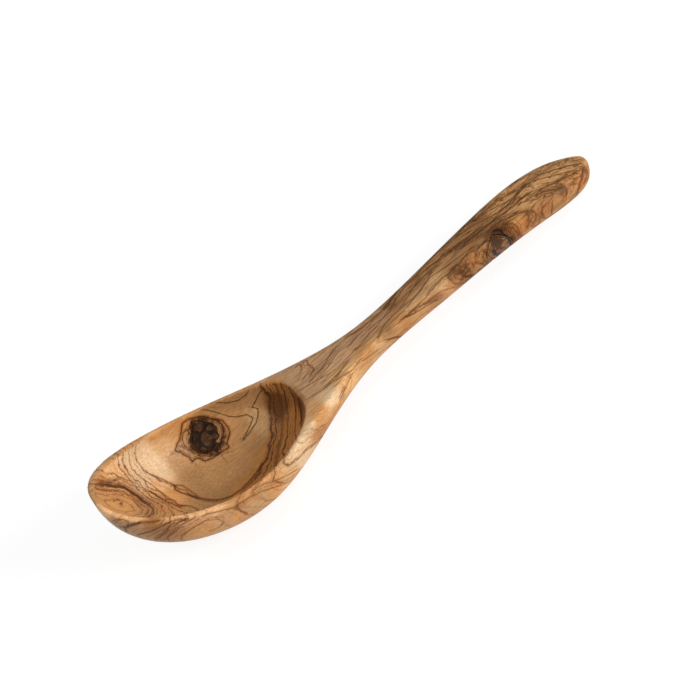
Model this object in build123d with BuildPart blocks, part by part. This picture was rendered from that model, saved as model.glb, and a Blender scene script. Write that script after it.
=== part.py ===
from build123d import *
import os
from math import cos, degrees, pi, radians, sin, sqrt, tan

# A serving spoon carved from one olive blank, with two dead knots in it, each held in a rim of bark.
# The spoon is drawn in its carving frame: x runs from the tip of the bowl to the end of the handle,
# y across, and z up from the lowest point of the rim. That frame is then pitched about y, so that
# the spoon lies as it does on a table: on its belly and on the heel of its handle.

os.makedirs("parts", exist_ok=True)

# Spoon, lengths along x
spoon_length = 300.0
tip_to_widest = 57.0
tip_to_belly = 52.0
tip_to_low_rim = 81.0
tip_to_waist = 167.0
tip_to_droop = 236.0
handle_end_round = 35.7

# Spoon, widths and thicknesses
bowl_width = 74.2
waist_width = 17.9
handle_width = 28.8
belly_thickness = 29.7
waist_thickness = 15.1
heel_thickness = 15.8
rim_round = 1.3
handle_round = 4.5

# Spoon, heights of its top line
tip_rise = 18.9
handle_pitch = 13.3
neck_blend = 25.2
end_droop = 12.9

# Hollow of the bowl
rim_wall = 2.3
hollow_end = 112.8
hollow_depth = 24.0
tip_to_deepest = 62.0
hollow_lift = 2.0

# Where it stands
rest_flat_depth = 0.4

# Knot in the far wall of the bowl, and its bark
bowl_knot_x = 66.0
bowl_knot_lean = 45.0
bowl_knot_radius = 8.8
bark_thickness = 1.0
plug_reach = 12.0

# Knot in the near side of the handle, and its bark
handle_knot_x = 236.0
handle_knot_radius = 7.4
handle_knot_depth = 11.0
handle_bark_thickness = 0.9

# Fullness of the rounded outlines and of the hollow's section: 2 is an ellipse, more is squarer
tip_fullness = 2.2
stem_fullness = 3.1
end_fullness = 2.3
heel_fullness = 3.0
hollow_tip_fullness = 2.1
hollow_rear_fullness = 2.5
hollow_side_fullness = 4.5
hollow_section_fullness = 2.3

# Places of the sections, as shares of the stretch that each row covers
bow_shares = (0.002, 0.014, 0.055, 0.15, 0.32, 0.56, 0.8)
shoulder_shares = (0.0, 0.2, 0.4, 0.58, 0.76, 0.9)
grip_shares = (0.0, 0.35, 0.7, 1.0)
end_shares = (0.34, 0.6, 0.79, 0.91, 0.975, 0.996, 0.9995)
hollow_shares = (0.0006, 0.008, 0.035, 0.1, 0.22, 0.38, 0.54, 0.69, 0.82, 0.91, 0.965, 0.991, 0.9994)
bowl_knot_across_share = 0.83
handle_knot_down_share = 0.5
knot_outline_shares = (1.0, 0.93, 1.05, 0.96, 1.02, 0.9, 1.04, 0.97)
knot_taper_share = 0.72
edge_crown_share = 0.15

# Controls of the hanging curves: how far out and down the wall's lies, and how far down the floor's
underside_shares = (1.018, 1.605, 0.535)
hollow_section_shares = (0.988, 1.219, 1.049)


def clamp(share):
    """Keep a share between 0 and 1."""
    return min(max(share, 0.0), 1.0)


def bulge(share, fullness):
    """Height of a unit rounded outline, 1 at share 0 and 0 at share 1."""
    return (1 - clamp(abs(share)) ** fullness) ** (1 / fullness)


def ease(share):
    """Fall from 1 to 0 with level ends."""
    return 0.5 + 0.5 * cos(pi * clamp(share))


def blend(start, end, share):
    """Value part of the way from start to end."""
    return start + (end - start) * share


def rim_height(x):
    """Top line of the spoon: it falls from the tip, lifts along the handle and droops at the end."""
    fall = tip_rise * clamp((tip_to_low_rim - x) / tip_to_low_rim) ** 2
    run = max(x - tip_to_low_rim, 0)
    lift = tan(radians(handle_pitch)) * (sqrt(run**2 + neck_blend**2) - neck_blend)
    droop = end_droop * clamp((x - tip_to_droop) / (spoon_length - tip_to_droop)) ** 2
    return fall + lift - droop


def past_round(x):
    """Share of the rounded end of the handle that lies before x."""
    return clamp((x - (spoon_length - handle_end_round)) / handle_end_round)


def along_grip(x):
    """Share of the grip, from the waist to its rounded end, that lies before x."""
    return clamp((x - tip_to_waist) / (spoon_length - handle_end_round - tip_to_waist))


def half_width(x):
    """Plan outline of the spoon, from its centre line."""
    if x < tip_to_widest:
        return bowl_width / 2 * bulge(1 - x / tip_to_widest, tip_fullness)
    if x < tip_to_waist:
        return blend(waist_width, bowl_width, ease((x - tip_to_widest) / (tip_to_waist - tip_to_widest))) / 2
    swell = blend(along_grip(x), 1 - ease(along_grip(x)), 0.5)
    return blend(waist_width, handle_width, swell) / 2 * bulge(past_round(x), end_fullness)


def thickness(x):
    """Height of the spoon from its top line down to its underside."""
    if x < tip_to_belly:
        return belly_thickness * bulge(1 - x / tip_to_belly, stem_fullness)
    if x < tip_to_waist:
        return blend(waist_thickness, belly_thickness, ease((x - tip_to_belly) / (tip_to_waist - tip_to_belly)))
    return blend(waist_thickness, heel_thickness, along_grip(x)) * bulge(past_round(x), heel_fullness)


def edge_round(x):
    """Rounding of the top edges: fine on the rim, soft on the handle."""
    softness = 1 - ease((x - hollow_end) / (spoon_length - handle_end_round - hollow_end))
    return min(blend(rim_round, handle_round, softness), 0.45 * half_width(x), 0.45 * thickness(x))


def underside(x, pitch):
    """Height of the underside at x once the spoon is pitched."""
    return (rim_height(x) - thickness(x)) * cos(pitch) - x * sin(pitch)


# The pitch at which belly and heel touch the table together, found by halving
probe_steps = 600
depth_steps = 12
belly_probes = [tip_to_waist * step / probe_steps for step in range(probe_steps)]
heel_probes = [blend(tip_to_waist, spoon_length, step / probe_steps) for step in range(probe_steps)]
low_pitch = 0.0
high_pitch = pi / 6
for _ in range(40):
    rest_pitch = (low_pitch + high_pitch) / 2
    belly_low = min(underside(x, rest_pitch) for x in belly_probes)
    heel_low = min(underside(x, rest_pitch) for x in heel_probes)
    if belly_low < heel_low:
        low_pitch = rest_pitch
    else:
        high_pitch = rest_pitch

# The pitched frame, with its floor at z 0 and the spoon's ends as far each way from x 0
table_points = [
    x * cos(rest_pitch) + (rim_height(x) - thickness(x) * level / depth_steps) * sin(rest_pitch)
    for x in belly_probes + heel_probes + [spoon_length]
    for level in range(depth_steps + 1)
]
carving = Plane(
    origin=(-(min(table_points) + max(table_points)) / 2, 0, -belly_low - rest_flat_depth),
    x_dir=(cos(rest_pitch), 0, -sin(rest_pitch)),
    z_dir=(sin(rest_pitch), 0, cos(rest_pitch)),
)


def station(x):
    """Plane square to the carving frame at x, with its y up."""
    return Plane(
        origin=carving.from_local_coords((x, 0, 0)),
        x_dir=(0, 1, 0),
        z_dir=carving.x_dir,
    )


def hanging_curve(half, depth, level, swell_share, wall_share, floor_share):
    """Rounded curve from +half to -half, hanging to its full depth below its level."""
    Bezier(
        (half, level),
        (half * swell_share, level - depth * wall_share),
        (0, level - depth * floor_share),
        (-half * swell_share, level - depth * wall_share),
        (-half, level),
    )


def draw_section(x):
    """Closed section of the spoon: a flat top, two rounded edges and a full underside."""
    half = half_width(x)
    top = rim_height(x)
    soft = edge_round(x)
    crown = edge_crown_share * soft
    Line((soft - half, top), (half - soft, top))
    Bezier((half - soft, top), (half - crown, top - crown), (half, top - soft))
    hanging_curve(half, thickness(x) - soft, top - soft, *underside_shares)
    Bezier((-half, top - soft), (crown - half, top - crown), (soft - half, top))


hollow_start = rim_wall


def hollow_share(x):
    """Share of the way from the deepest place of the hollow to its nearer end."""
    if x < tip_to_deepest:
        return (tip_to_deepest - x) / (tip_to_deepest - hollow_start)
    return (x - tip_to_deepest) / (hollow_end - tip_to_deepest)


def hollow_half(x):
    """Half width of the hollow: it rounds off to the tip, and leaves an even rim on its way to the neck."""
    if x < tip_to_deepest:
        return (half_width(tip_to_deepest) - rim_wall) * bulge(hollow_share(x), hollow_tip_fullness)
    return (half_width(x) - rim_wall) * bulge(hollow_share(x), hollow_side_fullness)


def hollow_drop(x):
    """Depth of the hollow under its lifted top: it runs out gently to the tip and ends steeply at the neck."""
    fullness = hollow_tip_fullness if x < tip_to_deepest else hollow_rear_fullness
    return (hollow_depth + hollow_lift) * bulge(hollow_share(x), fullness)


def draw_hollow_section(x):
    """Closed section of the hollow: a full floor under a flat top that lies clear of the rim."""
    half = hollow_half(x)
    level = rim_height(x) + hollow_lift
    hanging_curve(half, hollow_drop(x), level, *hollow_section_shares)
    Line((-half, level), (half, level))


def loft_through(places, draw, mode=Mode.ADD):
    """Smooth solid through the sections drawn at these places."""
    sections = []
    for x in places:
        with BuildSketch(station(x), mode=Mode.PRIVATE) as section:
            with BuildLine():
                draw(x)
            make_face()
        sections.append(section.sketch)
    loft(sections=sections, mode=mode)


def draw_knot(radius):
    """Uneven closed outline of a knot."""
    count = len(knot_outline_shares)
    points = [
        (radius * share * cos(2 * pi * turn / count), radius * share * sin(2 * pi * turn / count))
        for turn, share in enumerate(knot_outline_shares)
    ]
    Spline(points, periodic=True)


def knot_plug(mouth, near, far, radius, end_radius, mode):
    """Tapered plug along a branch, from the near side of its mouth to the far side."""
    faces = []
    for offset, size in ((near, radius), (far, end_radius)):
        with BuildSketch(mouth.offset(offset), mode=Mode.PRIVATE) as outline:
            with BuildLine():
                draw_knot(size)
            make_face()
        faces.append(outline.sketch)
    loft(sections=faces, ruled=True, mode=mode)


# Carved spoon, before the knots are parted from it
rounded_from = spoon_length - handle_end_round
stations = [tip_to_widest * share for share in bow_shares]
stations += [blend(tip_to_widest, tip_to_waist, share) for share in shoulder_shares]
stations += [blend(tip_to_waist, rounded_from, share) for share in grip_shares]
stations += [blend(rounded_from, spoon_length, share) for share in end_shares]
hollow_stations = [blend(hollow_start, hollow_end, share) for share in hollow_shares]

with BuildPart() as carved_spoon:
    loft_through(stations, draw_section)
    loft_through(hollow_stations, draw_hollow_section, Mode.SUBTRACT)
    split(bisect_by=Plane.XY)

# Mouths of the two knots, with z along the branch: down through the bowl's far wall, and into the handle
lean = radians(bowl_knot_lean)
wall_depth = hollow_drop(bowl_knot_x) * bulge(bowl_knot_across_share, hollow_section_fullness)
branch_up = carving.z_dir * -sin(lean)
bowl_mouth = Plane(
    origin=carving.from_local_coords(
        (
            bowl_knot_x,
            bowl_knot_across_share * hollow_half(bowl_knot_x),
            rim_height(bowl_knot_x) + hollow_lift - wall_depth,
        )
    ),
    x_dir=carving.x_dir,
    z_dir=Vector(0, cos(lean), 0) + branch_up,
)
handle_mouth = Plane(
    origin=carving.from_local_coords(
        (
            handle_knot_x,
            -half_width(handle_knot_x),
            rim_height(handle_knot_x) - handle_knot_down_share * thickness(handle_knot_x),
        )
    ),
    x_dir=carving.x_dir,
    z_dir=(0, 1, 0),
)


def bowl_plug(extra, mode):
    """The bowl knot's plug, grown all round by an extra thickness of bark."""
    radius = bowl_knot_radius + extra
    end_radius = bowl_knot_radius * knot_taper_share + extra
    knot_plug(bowl_mouth, -plug_reach, plug_reach, radius, end_radius, mode)


def handle_plug(extra, mode):
    """The handle knot's plug, from outside the near face to its blind end."""
    radius = handle_knot_radius + extra
    end_radius = handle_knot_radius * knot_taper_share + extra
    knot_plug(handle_mouth, -handle_knot_radius, handle_knot_depth + extra, radius, end_radius, mode)


# Body: the olive wood itself, with a pocket for each knot in its bark
with BuildPart() as spoon_body:
    add(carved_spoon.part)
    bowl_plug(bark_thickness, Mode.SUBTRACT)
    handle_plug(handle_bark_thickness, Mode.SUBTRACT)

# Bowl knot: the dead branch stub that passes through the bowl's far wall
with BuildPart() as bowl_knot:
    add(carved_spoon.part)
    bowl_plug(0, Mode.INTERSECT)

with BuildPart() as bowl_knot_bark:
    add(carved_spoon.part)
    bowl_plug(bark_thickness, Mode.INTERSECT)
    bowl_plug(0, Mode.SUBTRACT)

# Handle knot: the small stub whose bark shows as a black seam on the handle
with BuildPart() as handle_knot:
    add(carved_spoon.part)
    handle_plug(0, Mode.INTERSECT)

with BuildPart() as handle_knot_bark:
    add(carved_spoon.part)
    handle_plug(handle_bark_thickness, Mode.INTERSECT)
    handle_plug(0, Mode.SUBTRACT)

spoon_body.part.label = "spoon_body"
bowl_knot.part.label = "bowl_knot"
bowl_knot_bark.part.label = "bowl_knot_bark"
handle_knot.part.label = "handle_knot"
handle_knot_bark.part.label = "handle_knot_bark"
export_step(spoon_body.part, "parts/spoon_body.step")
export_step(bowl_knot.part, "parts/bowl_knot.step")
export_step(bowl_knot_bark.part, "parts/bowl_knot_bark.step")
export_step(handle_knot.part, "parts/handle_knot.step")
export_step(handle_knot_bark.part, "parts/handle_knot_bark.step")
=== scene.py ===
import bpy
import math
import numpy as np
from mathutils import Matrix, Vector
from mathutils.bvhtree import BVHTree


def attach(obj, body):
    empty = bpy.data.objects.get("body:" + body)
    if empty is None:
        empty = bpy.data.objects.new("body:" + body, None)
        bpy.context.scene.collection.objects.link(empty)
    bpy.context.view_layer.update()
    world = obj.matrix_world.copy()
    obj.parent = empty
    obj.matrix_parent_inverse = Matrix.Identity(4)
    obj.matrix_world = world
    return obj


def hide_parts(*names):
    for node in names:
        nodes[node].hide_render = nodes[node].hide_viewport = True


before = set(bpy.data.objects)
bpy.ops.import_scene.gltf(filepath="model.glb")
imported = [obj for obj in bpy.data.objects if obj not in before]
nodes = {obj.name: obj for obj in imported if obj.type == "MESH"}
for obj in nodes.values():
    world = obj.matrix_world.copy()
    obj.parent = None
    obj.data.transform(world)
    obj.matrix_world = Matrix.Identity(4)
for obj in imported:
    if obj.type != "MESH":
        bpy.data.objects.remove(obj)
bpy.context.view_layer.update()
millimetres = 1000  # in a metre, the unit of the frame
weldDistance = 0.000002  # metres within which the split corners of a CAD mesh are joined
softFactor = 0.5  # share of the way to its neighbours that a smoothing pass moves a corner

# Camera: the photograph's view, fitted to the spoon's outline. All traced places are pixels of it.
view = {
    "location": (-0.010748, -0.647185, 0.632921),
    "target": (-0.005062, 0.00425, 0.016372),
    "roll": 42.101,  # degrees clockwise about the line of sight
    "lens": 91.35,
    "nearest": 0.01,  # metres from the camera at which things begin to show
    "width": 700,  # pixels of the square view
    "nearing": 4,  # steps that bring a place just outside the outline on to the spoon
}
sight = (Vector(view["target"]) - Vector(view["location"])).normalized()
level = sight.to_track_quat("-Z", "Y").to_matrix().to_4x4()
roll = Matrix.Rotation(-math.radians(view["roll"]), 4, "Z")
bpy.ops.object.camera_add(location=view["location"])
camera = bpy.context.object
camera.name = "photo_camera"
camera.matrix_world = Matrix.Translation(view["location"]) @ level @ roll
camera.data.lens = view["lens"]
camera.data.clip_start = view["nearest"]
bpy.context.scene.camera = camera
print("camera")

# Spoon blank: where the carving lies in the resting frame, so that grain can be laid out along the spoon.
carving = {
    "origin": (-0.1510761, 0.0, 0.0451974),
    "pitch": 13.18168,  # degrees that the carving points down from level
}
pitch = math.radians(carving["pitch"])
carvingAxes = np.array([
    (math.cos(pitch), 0, -math.sin(pitch)),
    (0, 1, 0),
    (math.sin(pitch), 0, math.cos(pitch)),
])


def toCarving(points):
    # Millimetres along, across and up the carving, from resting metres.
    return (points - np.array(carving["origin"])) @ carvingAxes.T * millimetres


def fromCarving(point):
    # Resting metres of a point along, across and up the carving.
    return np.array(point) / millimetres @ carvingAxes + np.array(carving["origin"])


def solidTree():
    # Every CAD solid joined in one search tree.
    corners, faces = [], []
    for solid in nodes.values():
        start = len(corners)
        corners += [corner.co.copy() for corner in solid.data.vertices]
        faces += [[start + corner for corner in face.vertices] for face in solid.data.polygons]
    return BVHTree.FromPolygons(corners, faces)


surface = solidTree()


def onSpoon(spot):
    # Place on the carving that the view shows at a pixel, or the nearest to it just outside the outline.
    middle = view["width"] / 2
    depth = view["lens"] / camera.data.sensor_width * view["width"]
    ray = Vector((spot[0] - middle, middle - spot[1], -depth))
    ray = (camera.matrix_world.to_3x3() @ ray).normalized()
    start = Vector(view["location"])
    place = surface.ray_cast(start, ray)[0]
    if place is None:
        place = Vector(view["target"])
        for step in range(view["nearing"]):
            place = surface.find_nearest(start + ray * (place - start).dot(ray))[0]
    return toCarving(np.array(place))


def marksOnSpoon(marks):
    # Marks with their pixels turned into places on the carving.
    return [(half, dark, [onSpoon(spot) for spot in line]) for half, dark, line in marks]


def meshPoints(piece):
    # Corners and corner normals of a piece, along, across and up the carving.
    count = len(piece.data.vertices)
    points = np.empty(count * 3)
    normals = np.empty(count * 3)
    piece.data.vertices.foreach_get("co", points)
    piece.data.vertices.foreach_get("normal", normals)
    return toCarving(points.reshape(-1, 3)), normals.reshape(-1, 3) @ carvingAxes.T


def storeField(piece, name, values):
    # Keeps one number, or one colour, for each corner of the piece, for its material to read.
    kind = "FLOAT" if values.ndim == 1 else "FLOAT_COLOR"
    attribute = piece.data.attributes.new(name, kind, "POINT")
    if kind == "FLOAT":
        attribute.data.foreach_set("value", values.astype(np.float32))
    else:
        alpha = np.ones((len(values), 1))
        attribute.data.foreach_set("color", np.hstack([values, alpha]).astype(np.float32).ravel())


def mergedCopy(solid, name):
    # A copy of a CAD node's mesh in a new object, with its split corners joined.
    bpy.ops.object.select_all(action="DESELECT")
    piece = bpy.data.objects.new(name, nodes[solid].data.copy())
    bpy.context.scene.collection.objects.link(piece)
    bpy.context.view_layer.objects.active = piece
    piece.select_set(True)
    bpy.ops.object.mode_set(mode="EDIT")
    bpy.ops.mesh.select_all(action="SELECT")
    bpy.ops.mesh.remove_doubles(threshold=weldDistance)
    bpy.ops.mesh.normals_make_consistent(inside=False)
    bpy.ops.object.mode_set(mode="OBJECT")
    piece.data.materials.clear()
    return piece


def applied(piece, kind, **settings):
    # Adds a modifier to the piece and applies it.
    modifier = piece.modifiers.new(kind.lower(), kind)
    for key, value in settings.items():
        setattr(modifier, key, value)
    bpy.ops.object.modifier_apply(modifier=modifier.name)


def newMaterial(name):
    # A material with its node tree and its main shader.
    material = bpy.data.materials.new(name)
    material.use_nodes = True
    return material, material.node_tree, material.node_tree.nodes["Principled BSDF"]


def node(tree, kind, inputs=None, **settings):
    # Adds a shader node, and links or sets its inputs.
    made = tree.nodes.new("ShaderNode" + kind)
    for key, value in settings.items():
        setattr(made, key, value)
    for key, value in (inputs or {}).items():
        if isinstance(value, bpy.types.NodeSocket):
            tree.links.new(value, made.inputs[key])
        else:
            made.inputs[key].default_value = value
    return made


def field(tree, name, output="Fac"):
    # Reads a field that is stored on the piece.
    return node(tree, "Attribute", attribute_name=name).outputs[output]


def treeOf(*values):
    # The node tree of the first socket among some values.
    return next(value.id_data for value in values if isinstance(value, bpy.types.NodeSocket))


def math2(operation, first, second=0.0):
    # One arithmetic step between two sockets, or a socket and a number.
    return node(treeOf(first, second), "Math", {0: first, 1: second}, operation=operation).outputs[0]


def product(first, *others):
    # Product of sockets and numbers.
    for other in others:
        first = math2("MULTIPLY", first, other)
    return first


def shaken(value, noises, amounts):
    # A value pushed to and fro by noises, by up to half an amount each way for each.
    for source, amount in zip(noises, amounts):
        value = math2("ADD", value, product(math2("SUBTRACT", source, 0.5), amount))
    return value


def remap(value, start, end, low=0.0, high=1.0, smooth=False):
    # Maps a value from one range to another, held at its ends.
    kind = "SMOOTHSTEP" if smooth else "LINEAR"
    inputs = {"Value": value, "From Min": start, "From Max": end, "To Min": low, "To Max": high}
    return node(value.id_data, "MapRange", inputs, interpolation_type=kind).outputs["Result"]


def ridge(value, start, end, depth=1.0):
    # Darkness of a line that runs where a value is 0: full up to start on both sides, none past end.
    return remap(math2("ABSOLUTE", value), start, end, depth, 0.0, smooth=True)


def contour(value, centre, start, end, depth=1.0):
    # Darkness of a line that runs where a value passes a centre.
    return ridge(math2("SUBTRACT", value, centre), start, end, depth)


def noise(vector, scale, detail=2.0, rough=0.5, w=None):
    # A noise value from 0 to 1, through space, or through space and one more direction.
    inputs = {"Vector": vector, "Scale": scale, "Detail": detail, "Roughness": rough}
    if w is not None:
        inputs["W"] = w
    kind = "3D" if w is None else "4D"
    return node(vector.id_data, "TexNoise", inputs, noise_dimensions=kind).outputs["Fac"]


def mixed(share, first, second):
    # Mixes two values by a share.
    return node(share.id_data, "Mix", {"Factor": share, "A": first, "B": second}).outputs["Result"]


def blendColor(share, first, second, mode="MIX"):
    # Mixes two colours by a share.
    inputs = {0: share, 6: first, 7: second}
    return node(treeOf(share, first), "Mix", inputs, data_type="RGBA", blend_type=mode).outputs[2]


def brightened(color, value):
    # A colour times one value.
    grey = node(value.id_data, "CombineColor", {0: value, 1: value, 2: value}).outputs[0]
    return blendColor(1.0, color, grey, "MULTIPLY")


def woodNoises(tree):
    # Place on the piece, with the slow and the fine noise that shake the lines of every finish.
    place = node(tree, "TexCoord").outputs["Object"]
    return place, noise(place, *grain["wander"]), noise(place, *grain["jag"])


def bumped(tree, shader, height, strength, distance):
    # Gives the surface its fine relief.
    bump = node(tree, "Bump", {"Strength": strength, "Distance": distance, "Height": height})
    tree.links.new(bump.outputs["Normal"], shader.inputs["Normal"])


def rowLines(tree, name, lines, sway):
    # Darkness of a row of growth lines, and of the stain beside them, from the row kept on the piece.
    widest = 4.0  # half width in millimetres that the ramp holds as 1
    noLine = (0, 0.4, 0)  # stands before the first line and after the last
    places = len(lines) + 2
    gap = field(tree, name + "Gap")
    row = math2("ADD", field(tree, name), math2("DIVIDE", sway, gap))
    number = math2("ROUND", row)
    ramp = node(tree, "ValToRGB", {"Fac": math2("DIVIDE", math2("ADD", number, 0.5), places)})
    ramp.color_ramp.interpolation = "CONSTANT"
    ramp.color_ramp.elements[0].color = (0, noLine[1] / widest, 0, 1)
    ramp.color_ramp.elements.remove(ramp.color_ramp.elements[1])
    for place, (level, half, dark) in enumerate(lines + [noLine], 1):
        ramp.color_ramp.elements.new(place / places).color = (dark, half / widest, 0, 1)
    parts = node(tree, "SeparateColor", {0: ramp.outputs["Color"]}).outputs
    away = product(math2("ABSOLUTE", math2("SUBTRACT", row, number)), gap)
    edge = math2("DIVIDE", away, product(parts["Green"], widest))
    sharp = product(remap(edge, *grain["sharpEdge"], smooth=True), parts["Red"])
    soft = product(remap(edge, *grain["softEdge"], smooth=True), parts["Red"])
    return sharp, soft


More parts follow.
